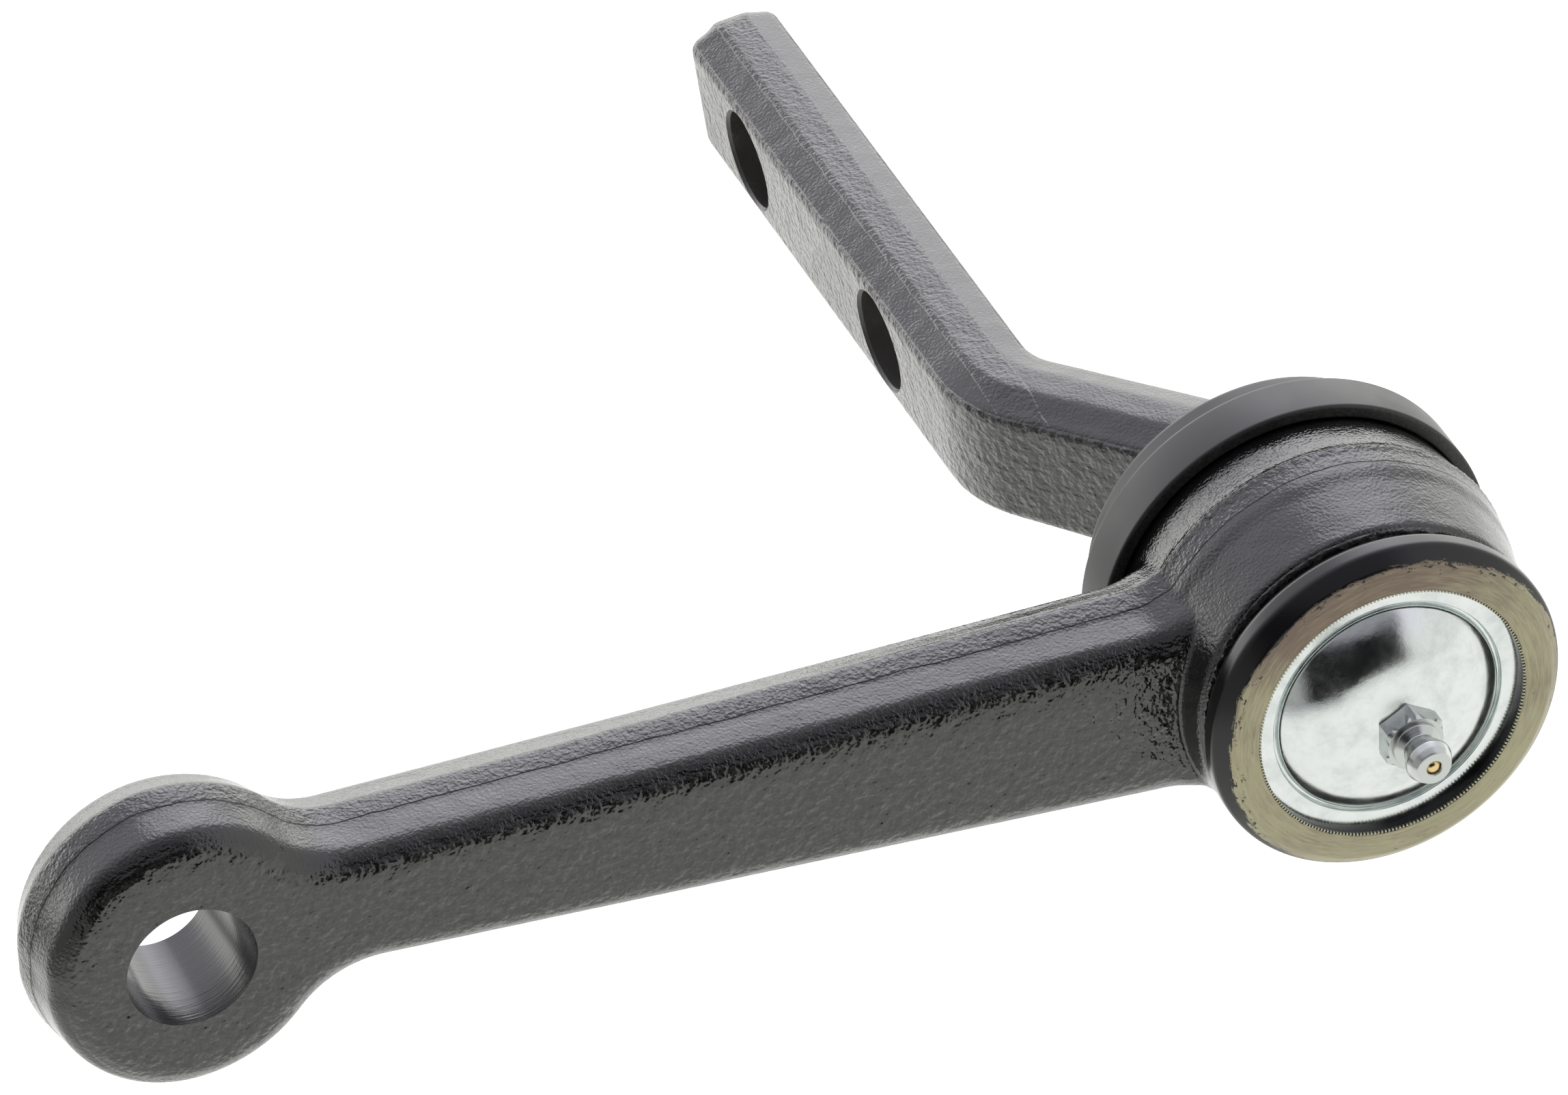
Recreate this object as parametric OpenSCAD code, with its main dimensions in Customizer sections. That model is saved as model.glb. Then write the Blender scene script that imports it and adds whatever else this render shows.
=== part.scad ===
// Steering idler arm: a forged arm that swings on a forged frame bracket.
// Everything is drawn in the pivot's frame: z runs along the pivot towards the cover, x away from
// the frame rail and y up. The place() module then stands it in the part's own frame, whose origin
// is the middle of the two bolt holes on the bracket's mounting face.

/* [Arm] */
// Pivot axis to the middle of the eye
arm_reach = 163.6; // [120:0.1:220]
// Angle by which the arm rises from level towards the eye
arm_rise = 6.9; // [-20:0.1:20]
// Front face of the arm behind the cover's flange
arm_face_drop = 10.7; // [9:0.1:14]
// Thickness of the arm along the pivot
arm_thick = 17; // [15:0.1:20]
// Front face of the arm to the forging's parting line
parting_depth = 11; // [9:0.1:12]
// Height of the shank above the eye's centre line
shank_top = 11.5; // [10:0.1:14]
// Extra height of the shank's top at the housing
shank_top_rise = 1.5; // [0:0.1:3]
// Depth of the shank below the centre line beside the eye
shank_low_eye = 8.8; // [7:0.1:12]
// Depth of the shank below the centre line beside the housing
shank_low_housing = 15.6; // [12:0.1:18]
// Radius of the arm's rounded edges
edge_r = 2.8; // [1:0.1:3]

/* [Eye] */
// Outer radius of the eye at the parting line
eye_r = 21.4; // [19:0.1:26]
// Middle of the hole to the tip of the eye
eye_tip = 20.2; // [19:0.1:26]
// Radius of the tapered hole at its large end, in the front face
eye_hole_r = 8.95; // [7:0.05:11]
// Length along the hole in which its diameter falls by one
eye_taper = 8; // [6:1:16]

/* [Housing] */
// Thickness of the housing's wall at the parting line
side_wall = 7.1; // [6:0.1:9]
// Thickness of the housing's wall just behind the rolled bead
front_wall = 4.3; // [3.5:0.1:5.5]
// Length of the housing behind the back of the arm
rear_reach = 3.9; // [3:0.1:6]
// Thickness of the housing's rear wall
rear_wall = 2; // [1.5:0.1:3]
// Radial gap between the opening in the rear wall and the stud
rear_gap = 0.6; // [0.4:0.1:1.5]
// Width of the rolled lip that holds the cover
lip_w = 4.2; // [3:0.1:5]
// Thickness of the rolled lip
lip_t = 1.7; // [1:0.1:2.5]

/* [Cover] */
// Width of the ledge in the bore that the cover sits on
ledge_w = 1.3; // [1:0.1:2]
// Thickness of the cover plate
cover_t = 1.6; // [1.2:0.1:2]
// Height of the dome above the flange
dome_h = 6.3; // [5:0.1:8]
// Radial gap between the nut's corners and the place where the dome meets the groove
dome_gap = 1.94; // [1.5:0.01:3]
// Width of the pressed groove round the dome
groove_w = 1.5; // [1:0.1:2]
// Depth of the pressed groove
groove_d = 0.8; // [0.4:0.1:1]

/* [Bearings] */
// Thickness of the upper cone's wall at its thin end
cone_wall = 1.6; // [1.2:0.1:3]
// Rise of both cones from the middle of the stack to its ends
cone_rise = 3.8; // [3:0.1:5]
// Thickness of both conical seats at their thin ends
seat_wall = 5.8; // [4:0.1:8]
// Running clearance between each cone and its seat
run_gap = 0.05; // [0.02:0.01:0.1]
// Thickness of the flat washer under the nut
washer_t = 1.5; // [1:0.1:2]
// Height of the cupped preload spring as fitted
spring_t = 1.4; // [1.2:0.1:2]
// Thickness of the preload spring's steel
spring_steel = 0.9; // [0.6:0.1:1]
// Radial clearance of the washer and the spring on the stud
slip = 0.3; // [0.2:0.05:0.5]
// Height of the nut
nut_h = 6; // [5:0.1:7]
// Thickness of the nut's wall at its flats
nut_wall = 4; // [3:0.1:6]
// Width by which the flat washer stands out past the nut's corners
washer_rim = 0.14; // [0:0.01:1]

/* [Bracket] */
// Distance between the two bolt holes
bolt_gap = 49.6; // [40:0.1:60]
// Radius of the bolt holes
bolt_hole_r = 7.25; // [5:0.05:8]
// Gap between the housing and the plane of the mounting face
rail_gap = 0.3; // [0.2:0.1:6]
// Middle of the bolt holes to the cover's flange, along the pivot
bolts_to_cover = 136.3; // [130:0.1:150]
// Thickness of the leg
leg_t = 13.4; // [11:0.1:15]
// Height of the leg at its parting line
leg_h = 21.2; // [18:0.1:24]
// Bolt hole to the end of the leg
leg_end = 21; // [13:0.1:24]
// Radius of the leg's rounded edges
leg_edge_r = 1.4; // [1:0.1:3]
// Angle at which the bracket runs from the leg to the pivot
jog_angle = 36; // [30:0.5:40]
// Radius of the bend beside the leg, on the leg's middle line
bend_r = 16; // [14:0.5:24]
// Width of the shoulder that carries the seal, round the stud
shoulder_w = 1.4; // [1:0.1:3]
// Radius of the stud where it takes the upper cone
stud_r = 9; // [7.5:0.1:10.5]
// Step from the stud down to the thread's crests
thread_step = 1; // [0.5:0.1:2]

/* [Seal] */
// Gap between the inside of the seal's skirt and the housing
skirt_gap = 1.06; // [0.5:0.01:2]
// Length of the housing that the skirt covers
skirt_lap = 1.4; // [1:0.1:2.5]
// Length of the skirt
skirt_len = 7.4; // [6:0.1:9]
// Thickness of the skirt at its rim
skirt_t = 2; // [1.5:0.1:2.2]
// Width of the step from the skirt in to the seal's hub
hub_step = 3.3; // [2:0.1:5]
// Length of the hub behind the skirt
hub_len = 6; // [5:0.1:9]
// Gap between the seal's lip and the housing
seal_gap = 0.3; // [0.2:0.05:0.5]

/* [Grease fitting] */
// Width across the fitting's hexagon
fitting_af = 7.94; // [7:0.01:9]
// Height of the hexagon
fitting_hex_h = 2.9; // [2:0.1:4]
// Height of the fitting above the dome
fitting_h = 8.7; // [8:0.1:10]
// Radius of the ball head
head_r = 3.25; // [3:0.05:3.5]
// Radius of the flat tip
tip_r = 2.3; // [2:0.05:2.5]
// Radius of the neck below the head
neck_r = 2.35; // [2.2:0.05:2.8]
// Radius of the check ball
ball_r = 1.2; // [1:0.01:1.4]
// Width of the ring in the tip that the ball closes against
ball_seat = 0.15; // [0.1:0.01:0.25]
// Radial clearance of the ball in its passage
ball_gap = 0.15; // [0.1:0.01:0.2]
// Radius of the check spring's wire
wire_r = 0.15; // [0.1:0.01:0.2]

/* [Hidden] */

fine = 96;

// Radii of the stud and of what sits on it, from the thread out to the bore
thread_r = stud_r - thread_step;
cone_small_r = stud_r + cone_wall;
cone_large_r = cone_small_r + cone_rise;
nut_af = 2 * (thread_r + nut_wall);
washer_r = nut_af / 2 / cos(30) + washer_rim;
bore_r = cone_large_r + seat_wall;

// Radii of what sits in or round the housing
housing_r = bore_r + side_wall;
housing_front_r = bore_r + front_wall;
cover_r = bore_r + ledge_w;
rear_hole_r = cone_large_r + rear_gap;
boss_r = cone_large_r + shoulder_w;
dome_r = nut_af / 2 / cos(30) + dome_gap;
face_offset = housing_r + rail_gap;
orifice_r = ball_r - ball_seat;
passage_r = ball_r + ball_gap;

// Levels along the pivot, measured from the top of the cover's flange
arm_front = -arm_face_drop;
arm_back = arm_front - arm_thick;
parting = arm_front - parting_depth;
housing_rear = arm_back - rear_reach;
bead_level = -2.5;
front_level = bead_level - 1.7;
bore_floor = housing_rear + rear_wall;
cover_seat = -cover_t;
nut_top = -0.8;
nut_base = nut_top - nut_h;
washer_base = nut_base - washer_t;
cone_top = washer_base - spring_t;
bearing_mid = (bore_floor + cone_top) / 2;
dome_top = dome_h;
fitting_seat = dome_top - 0.15;
fitting_tip = dome_top + fitting_h;
stud_end = nut_top + 1.2;
seal_front = housing_rear + skirt_lap;
seal_step = seal_front - skirt_len;
shoulder = seal_step - hub_len;

// Each forging's side, from its flat face to the parting line and on to its back, as steps of
// [level, inset]: a rounded edge, a steep drafted face, the trimmed flash band and the back draft
face_inset = 2;
band_inset = 0.35;
band_w = 3.2;
back_inset = 0.9;
round_steps = 4;

function round_edge(level, inset, toward) = [
    for (i = [0 : round_steps])
        let (a = 90 * i / round_steps)
        [level + toward * edge_r * (1 - cos(a)), inset + edge_r * (1 - sin(a))]
];
function reversed(list) = [for (i = [len(list) - 1 : -1 : 0]) list[i]];
function side_steps(front, part, back) = concat(
    round_edge(front, face_inset, -1),
    [[part + band_w, band_inset], [part, 0]],
    reversed(round_edge(back, back_inset, 1))
);

// Skin through rings that have the same even number of points each. Its two ends are closed by
// strips from one half of the ring to the other.
module skin(rings) {
    n = len(rings[0]);
    last = (len(rings) - 1) * n;
    walls = [
        for (j = [0 : len(rings) - 2])
            for (i = [0 : n - 1])
                let (a = j * n + i, b = j * n + (i + 1) % n)
                each [[a, b, b + n], [a, b + n, a + n]]
    ];
    ends = [
        for (i = [0 : n / 2 - 2])
            let (a = i, b = i + 1, c = n - 2 - i, d = n - 1 - i)
            each concat(
                c == b ? [] : [[a, c, b], [last + a, last + b, last + c]],
                [[a, d, c], [last + a, last + c, last + d]]
            )
    ];
    polyhedron(points = [for (ring = rings) each ring], faces = concat(walls, ends));
}

// Stands what is drawn in the pivot's frame in the part's own frame
module place() {
    translate([face_offset, -bolts_to_cover, 0])
        rotate([90, 0, 0])
            children();
}
module place_arm() {
    place()
        rotate([0, 0, -arm_rise])
            children();
}

// Plan outline of the shank and eye, for one inset of the side: from the housing along one edge,
// through the fillets, and round the eye to its tip. The lower edge is drawn as an upper one and
// then turned over.
eye_fillet = 12;
low_fillet = 13;
shoulder_fillet = 9;
// The shoulder's fillet stops this many degrees short of the housing and runs straight into it
fillet_left = 32;
run_in = 6;
arc_steps = 5;
eye_steps = 12;
// Degrees left flat each side of the eye's tip
tip_gap = 7;

function arc(centre, r, from, to, steps) = [
    for (i = [0 : steps])
        let (a = from + (to - from) * i / steps)
        centre + r * [cos(a), sin(a)]
];
rear_draft = 2.4;
function housing_at(level) = level > parting
    ? housing_r - (housing_r - housing_front_r) * (level - parting) / (front_level - parting)
    : housing_r - rear_draft * (parting - level) / (parting - housing_rear);
seal_r = housing_at(seal_front) + skirt_gap + skirt_t;
hub_r = seal_r - hub_step;
function edge(at_eye, at_housing, eye_corner, inset, level) =
    let (
        re = eye_r - inset * 1.3,
        rh = housing_at(level),
        corner = eye_corner + inset,
        shoulder = shoulder_fillet + inset,
        ec = [sqrt(pow(re + corner, 2) - pow(at_eye + corner, 2)) - arm_reach, at_eye + corner],
        hc = [-sqrt(pow(rh + shoulder, 2) - pow(at_housing + shoulder, 2)), at_housing + shoulder],
        at_e = atan2(ec[1], ec[0] + arm_reach),
        at_h = atan2(hc[1], hc[0]) - 180 - fillet_left,
        squash = (eye_tip - inset * 1.3) / re,
        round_eye = [
            for (p = arc([0, 0], re, at_e, 180 - tip_gap, eye_steps))
                [p[0] * (p[0] < 0 ? squash : 1) - arm_reach, p[1]]
        ]
    )
    concat(
        [hc + shoulder * [cos(at_h), sin(at_h)] + run_in * [-sin(at_h), cos(at_h)]],
        arc(hc, shoulder, at_h, -90, arc_steps),
        arc(ec, corner, -90, at_e - 180, arc_steps),
        [for (i = [1 : eye_steps]) round_eye[i]]
    );

module shank_and_eye() {
    steps = side_steps(arm_front, parting, arm_back);
    upper = [
        for (s = steps)
            edge(shank_top - s[1], shank_top + shank_top_rise - s[1] * 1.7, eye_fillet, s[1], s[0])
    ];
    lower = [
        for (s = steps)
            edge(shank_low_eye - s[1], shank_low_housing - s[1] * 1.2, low_fillet, s[1], s[0])
    ];
    top = len(steps) - 1;
    skin([
        for (i = [0 : len(upper[0]) - 1])
            concat(
                [for (j = [top : -1 : 0]) [upper[j][i][0], upper[j][i][1], steps[j][0]]],
                [for (j = [0 : top]) [lower[j][i][0], -lower[j][i][1], steps[j][0]]]
            )
    ]);
}

// Round housing: drafted both ways from a thin line of flash, with a turned bead at the front and
// the lip rolled in over the cover
bead_r = 2.1;
bead_from = -35;
bead_to = 75;
flash = 0.35;
lip_in = cover_r - lip_w + 1.7;
module housing_body() {
    rotate_extrude($fn = fine)
        polygon(concat(
            [
                [0, housing_rear],
                [housing_at(housing_rear) - 2, housing_rear],
                [housing_at(housing_rear) - 0.6, housing_rear + 0.6],
                [housing_at(housing_rear), housing_rear + 2],
                [housing_r, parting - flash],
                [housing_r + flash, parting],
                [housing_r, parting + flash],
                [housing_front_r, bead_level - 2.2],
                [housing_front_r - 0.3, bead_level - 1.9]
            ],
            arc([cover_r + 1.4, bead_level], bead_r, bead_from, bead_to, 8),
            [
                [cover_r - 0.4, lip_t * 0.8],
                [cover_r - 2, lip_t],
                [0, lip_t]
            ]
        ));
}
// Everything that is bored out of the housing, from the rear opening to the lip
module housing_bore() {
    rotate_extrude($fn = fine)
        polygon([
            [0, housing_rear - 1],
            [rear_hole_r, housing_rear - 1],
            [rear_hole_r, bore_floor],
            [bore_r, bore_floor],
            [bore_r, cover_seat],
            [cover_r, cover_seat],
            [cover_r, 0],
            [lip_in, 0],
            [lip_in + 0.2, lip_t * 0.8],
            [lip_in + 0.5, lip_t],
            [lip_in + 0.5, lip_t + 1],
            [0, lip_t + 1]
        ]);
}
module eye_hole() {
    translate([-arm_reach, 0, arm_back - 1])
        cylinder(
            h = arm_thick + 2,
            r1 = eye_hole_r - (arm_thick + 1) / eye_taper / 2,
            r2 = eye_hole_r + 1 / eye_taper / 2,
            $fn = fine
        );
}

module arm_forging() {
    color("#3b3c3d")
        place_arm()
            difference() {
                union() {
                    shank_and_eye();
                    housing_body();
                }
                housing_bore();
                eye_hole();
            }
}

// Bracket: one bar of constant thickness that runs down the leg, round the bend and up the jog into
// the boss. Its section is the same drafted shape on both sides of the parting line.
leg_mid = leg_t / 2 - face_offset;
hole_low = -bolts_to_cover - bolt_gap / 2;
hole_high = -bolts_to_cover + bolt_gap / 2;
leg_tip = hole_low - leg_end;
jog_out = 3;
jog_drop = 6.4;
jog_end = [jog_out, shoulder - jog_drop];
bend_turn = bend_r * tan(jog_angle / 2);
bend_corner = jog_end[1] - (jog_end[0] - leg_mid) / tan(jog_angle);
bend_start = bend_corner - bend_turn;
bend_steps = 8;

// Each station of the bar: [x, z, turn, inset of the sides, inset of the faces]. The end of the leg
// is rounded and drafted both ways from the parting line.
end_steps = 5;
end_r = 3;
end_low = 1.8;
end_thin = 3.4;
function bar_stations() = concat(
    [
        for (i = [0 : end_steps])
            let (a = 90 * i / end_steps)
            [leg_mid, leg_tip + end_r * (1 - cos(a)), 0, end_low * (1 - sin(a)), end_thin * (1 - sin(a))]
    ],
    [[leg_mid, (leg_tip + bend_start) / 2, 0, 0, 0]],
    [
        for (i = [0 : bend_steps])
            let (a = jog_angle * i / bend_steps)
            [leg_mid + bend_r * (1 - cos(a)), bend_start + bend_r * sin(a), a, 0, 0]
    ],
    [[jog_end[0], jog_end[1], jog_angle, -1, 0]]
);
// Upper half of the bar's section, as [across the bar, height]: a drafted side from the mounting
// face up to the trimmed flash band, and a shorter one down to the back
front_draft = 1.5;
back_draft = 0.7;
leg_band = [4.2, 9.2];
band_step = 0.3;
function bar_half(side_in, face_in) =
    let (
        t = leg_t / 2 - face_in,
        h = leg_h / 2 - side_in,
        r = leg_edge_r,
        front = h - front_draft,
        back = h - back_draft,
        band_from = max(leg_band[0] - leg_t / 2, band_step + r - t),
        band_to = min(leg_band[1] - leg_t / 2, t - r - band_step)
    )
    [
        [-t, front - r],
        [-t + r * 0.3, front - r * 0.3],
        [-t + r, front],
        [band_from, h - band_step],
        [band_from + band_step * 2, h],
        [band_to, h],
        [t - r, back],
        [t - r * 0.3, back - r * 0.3],
        [t, back - r]
    ];
module bar() {
    skin([
        for (s = bar_stations())
            let (half = bar_half(s[3], s[4]), loop = concat(half, [for (p = reversed(half)) [p[0], -p[1]]]))
            [for (p = loop) [s[0] + p[0] * cos(s[2]), p[1], s[1] - p[0] * sin(s[2])]]
    ]);
}

// Turned stud on the boss: seal seat, lower cone, the seat of the upper cone and the thread
boss_depth = 16;
boss_round = 7;
module stud() {
    rotate_extrude($fn = fine)
        polygon(concat(
            [[0, shoulder - boss_depth]],
            arc([boss_r - boss_round, shoulder - boss_round], boss_round, -75, 0, 6),
            [
                [boss_r, shoulder],
                [cone_large_r, shoulder],
                [cone_large_r, bore_floor - run_gap],
                [cone_small_r - run_gap, bearing_mid - run_gap],
                [stud_r, bearing_mid - run_gap],
                [stud_r, washer_base - spring_t / 2],
                [thread_r, washer_base - spring_t / 2],
                [thread_r, stud_end - 0.8],
                [thread_r - 0.8, stud_end],
                [0, stud_end]
            ]
        ));
}
grease_hole_r = 2;
module bracket_forging() {
    color("#414243")
        place()
            difference() {
                union() {
                    bar();
                    stud();
                }
                for (level = [hole_low, hole_high])
                    translate([-face_offset - 1, 0, level])
                        rotate([0, 90, 0])
                            cylinder(h = leg_t + 2, r = bolt_hole_r, $fn = fine);
                translate([0, 0, bearing_mid])
                    cylinder(h = stud_end - bearing_mid + 1, r = grease_hole_r, $fn = 32);
            }
}

// Rubber dust seal: a hub gripping the stud, a skirt over the housing's rear edge and a wiping lip
module dust_seal() {
    wiper_w = 4.5;
    lip_r = rear_hole_r + wiper_w;
    web = 2.2;
    color("#2b2b2e")
        place()
            rotate_extrude($fn = fine)
                polygon([
                    [cone_large_r, shoulder],
                    [hub_r - 0.8, shoulder],
                    [hub_r, shoulder + 0.8],
                    [hub_r, seal_step],
                    [seal_r - 0.5, seal_step],
                    [seal_r, seal_step + 0.5],
                    [seal_r, seal_front - 0.6],
                    [seal_r - 0.6, seal_front],
                    [seal_r - skirt_t, seal_front],
                    [seal_r - skirt_t, seal_step + web],
                    [hub_r - web, seal_step + web],
                    [hub_r - web, shoulder + web],
                    [lip_r + 0.5, shoulder + web],
                    [lip_r + 1, housing_rear - seal_gap - 1],
                    [lip_r + 0.6, housing_rear - seal_gap],
                    [lip_r - 0.2, housing_rear - seal_gap],
                    [lip_r - 1.5, shoulder + web + 2],
                    [cone_large_r, shoulder + web + 2]
                ]);
}

// Two pressed bushes with opposed conical seats, back to back in the bore
module lower_bearing() {
    color("#a8814a")
        place_arm()
            rotate_extrude($fn = fine)
                polygon([
                    [cone_large_r, bore_floor],
                    [bore_r, bore_floor],
                    [bore_r, bearing_mid],
                    [cone_small_r, bearing_mid]
                ]);
}
module upper_bearing() {
    color("#b08a50")
        place_arm()
            rotate_extrude($fn = fine)
                polygon([
                    [cone_small_r, bearing_mid],
                    [bore_r, bearing_mid],
                    [bore_r, cone_top],
                    [cone_large_r, cone_top]
                ]);
}
module bearing_cone() {
    color("#8b8f94")
        place()
            rotate_extrude($fn = fine)
                polygon([
                    [stud_r, bearing_mid + run_gap],
                    [cone_small_r - run_gap, bearing_mid + run_gap],
                    [cone_large_r - run_gap, cone_top],
                    [stud_r, cone_top]
                ]);
}

// Cupped spring washer that keeps both cones seated
module preload_spring() {
    rim = cone_large_r - 0.6;
    color("#6f7680")
        place()
            rotate_extrude($fn = fine)
                polygon([
                    [stud_r + slip, washer_base - spring_steel],
                    [rim, cone_top],
                    [rim, cone_top + spring_steel],
                    [stud_r + slip, washer_base]
                ]);
}
module flat_washer() {
    color("#9aa0a6")
        place()
            translate([0, 0, washer_base])
                difference() {
                    cylinder(h = washer_t, r = washer_r, $fn = fine);
                    translate([0, 0, -1])
                        cylinder(h = washer_t + 2, r = thread_r + slip, $fn = fine);
                }
}
module stud_nut() {
    color("#7c8288")
        place()
            translate([0, 0, nut_base])
                difference() {
                    intersection() {
                        cylinder(h = nut_h, r = nut_af / 2 / cos(30), $fn = 6);
                        rotate_extrude($fn = fine)
                            polygon([
                                [0, 0],
                                [nut_af / 2 - 0.2, 0],
                                [nut_af / 2 + 3, 1.85],
                                [nut_af / 2 + 3, nut_h - 1.85],
                                [nut_af / 2 - 0.2, nut_h],
                                [0, nut_h]
                            ]);
                    }
                    translate([0, 0, -1])
                        cylinder(h = nut_h + 2, r = thread_r, $fn = fine);
                }
}

// Pressed cover: flat flange under the rolled lip, a groove, and a dome with a raised centre
function dome_level(r) =
    let (big = (pow(dome_r, 2) + pow(dome_h, 2)) / 2 / dome_h)
    dome_h - big + sqrt(big * big - r * r);
thread_hole_r = 3.1;
module cover_plate() {
    top = [for (i = [0 : 10]) let (r = thread_hole_r + (dome_r - thread_hole_r) * i / 10) [r, dome_level(r)]];
    color("#d6dadd")
        place_arm()
            rotate_extrude($fn = fine)
                polygon(concat(
                    top,
                    [
                        [dome_r + 0.3, -groove_d],
                        [dome_r + groove_w - 0.3, -groove_d],
                        [dome_r + groove_w, 0],
                        [cover_r, 0],
                        [cover_r, -cover_t],
                        [dome_r + groove_w, -cover_t]
                    ],
                    [[dome_r + groove_w - 0.6, -groove_d - cover_t * 0.7], [dome_r - 0.5, -groove_d - cover_t * 0.7]],
                    reversed([for (p = top) if (p[0] < dome_r - 0.6) [p[0], p[1] - cover_t]])
                ));
}

// Straight grease fitting: thread through the cover, hexagon, neck and ball head with a check ball
ball_rest = fitting_tip - 0.5 - sqrt(pow(ball_r, 2) - pow(orifice_r, 2)) - 0.05;
spring_foot = dome_top - 0.4;
module grease_fitting() {
    head_mid = fitting_tip - 2;
    hex_top = fitting_seat + fitting_hex_h;
    tail = dome_top - cover_t - 2.2;
    color("#c4c8cc")
        place_arm()
            difference() {
                union() {
                    translate([0, 0, fitting_seat])
                        cylinder(h = fitting_hex_h, r = fitting_af / 2 / cos(30), $fn = 6);
                    rotate_extrude($fn = 48)
                        polygon([
                            [0, tail],
                            [thread_hole_r - 0.4, tail],
                            [thread_hole_r, tail + 0.4],
                            [thread_hole_r, hex_top],
                            [3.1, hex_top + 0.3],
                            [neck_r, hex_top + 1.3],
                            [neck_r, hex_top + 1.9],
                            [head_r - 0.25, head_mid - 0.55],
                            [head_r, head_mid - 0.1],
                            [head_r, head_mid + 0.35],
                            [head_r - 0.3, head_mid + 1.1],
                            [tip_r + 0.1, fitting_tip - 0.15],
                            [tip_r, fitting_tip],
                            [0, fitting_tip]
                        ]);
                }
                rotate_extrude($fn = 48)
                    polygon([
                        [0, tail - 1],
                        [passage_r - 0.35, tail - 1],
                        [passage_r - 0.35, spring_foot],
                        [passage_r, spring_foot],
                        [passage_r, ball_rest + 0.2],
                        [orifice_r, fitting_tip - 0.5],
                        [orifice_r, fitting_tip + 1],
                        [0, fitting_tip + 1]
                    ]);
            }
}
module check_ball() {
    color("#c9a45c")
        place_arm()
            translate([0, 0, ball_rest])
                sphere(r = ball_r, $fn = 32);
}

// Check spring: one wire wound in a short coil below the ball
spring_turns = 5;
wire_sides = 6;
turn_steps = 12;
module check_spring() {
    coil_r = passage_r - wire_r - 0.1;
    low = spring_foot + wire_r;
    high = ball_rest - sqrt(pow(ball_r + wire_r, 2) - pow(coil_r, 2));
    color("#b9bec4")
        place_arm()
            skin([
                for (i = [0 : spring_turns * turn_steps])
                    let (a = 360 * i / turn_steps, z = low + (high - low) * i / spring_turns / turn_steps)
                    [
                        for (k = [0 : wire_sides - 1])
                            let (w = 360 * k / wire_sides, r = coil_r + wire_r * cos(w))
                            [r * cos(a), r * sin(a), z + wire_r * sin(w)]
                    ]
            ]);
}

arm_forging();
bracket_forging();
dust_seal();
lower_bearing();
upper_bearing();
bearing_cone();
preload_spring();
flat_washer();
stud_nut();
cover_plate();
grease_fitting();
check_ball();
check_spring();
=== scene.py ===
"""Steering idler arm: a forged arm that swings on a forged frame bracket.

Millimetres along the pivot's own axes are turned into the row frame, in metres, as each mesh is
made. The pivot's z runs towards the cover, x away from the frame rail and y up.
"""
import math

import bmesh
import bpy
from mathutils import Matrix, Vector


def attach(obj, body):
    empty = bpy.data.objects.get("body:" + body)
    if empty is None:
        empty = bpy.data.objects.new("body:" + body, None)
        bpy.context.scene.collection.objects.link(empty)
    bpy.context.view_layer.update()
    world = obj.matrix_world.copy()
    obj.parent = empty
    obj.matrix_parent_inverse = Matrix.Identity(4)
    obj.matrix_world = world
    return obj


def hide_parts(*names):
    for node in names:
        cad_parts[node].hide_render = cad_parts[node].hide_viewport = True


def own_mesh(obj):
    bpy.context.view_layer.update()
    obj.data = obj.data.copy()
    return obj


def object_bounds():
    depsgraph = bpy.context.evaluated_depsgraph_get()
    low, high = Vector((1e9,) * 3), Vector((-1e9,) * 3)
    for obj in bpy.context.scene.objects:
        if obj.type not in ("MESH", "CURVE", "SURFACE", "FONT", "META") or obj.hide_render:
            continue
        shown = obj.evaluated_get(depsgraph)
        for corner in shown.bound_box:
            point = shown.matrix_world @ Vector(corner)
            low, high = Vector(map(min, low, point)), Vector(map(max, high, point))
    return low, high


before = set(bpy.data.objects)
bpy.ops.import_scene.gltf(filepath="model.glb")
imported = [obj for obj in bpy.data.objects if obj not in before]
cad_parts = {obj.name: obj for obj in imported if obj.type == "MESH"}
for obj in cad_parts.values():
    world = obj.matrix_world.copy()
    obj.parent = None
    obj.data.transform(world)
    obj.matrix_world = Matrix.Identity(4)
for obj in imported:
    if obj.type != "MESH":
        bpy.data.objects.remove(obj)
solid_box = [list(corner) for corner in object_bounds()]

# Photographer's table: a long lens looks down at the part from the cover's side. The white table
# and surround light it from all round, a softbox hangs high behind it and a lit backdrop stands
# there, and a dark curtain behind the camera gives the black bands on its rounded edges.

scene = bpy.context.scene
scene.view_settings.view_transform = "Standard"

camera_data = bpy.data.cameras.new("camera")
camera_data.sensor_width = 36.0
camera_data.lens = 282.2
camera_data.shift_x = 0.0109
camera_data.shift_y = -0.0009
camera_data.clip_end = 50.0
camera = bpy.data.objects.new("camera", camera_data)
camera.matrix_world = Matrix((
    (0.9185, 0.3330, -0.2130, -0.3860),
    (-0.3686, 0.5275, -0.7654, -1.3361),
    (-0.1425, 0.7815, 0.6073, 1.0132),
    (0.0, 0.0, 0.0, 1.0),
))
scene.collection.objects.link(camera)
scene.camera = camera


def add(tree, kind, **settings):
    """A node with its own settings, and its sockets set by name."""
    node = tree.nodes.new(kind)
    for name, value in settings.items():
        if hasattr(node, name) and name not in node.inputs:
            setattr(node, name, value)
        else:
            node.inputs[name.replace("_", " ")].default_value = value
    return node


def sums(tree, operation, first, second=None):
    """One step of arithmetic between sockets or plain numbers."""
    node = tree.nodes.new("ShaderNodeMath")
    node.operation = operation
    for socket, value in zip(node.inputs, (first, second)):
        if isinstance(value, bpy.types.NodeSocket):
            tree.links.new(value, socket)
        elif value is not None:
            socket.default_value = value
    return node.outputs[0]


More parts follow.
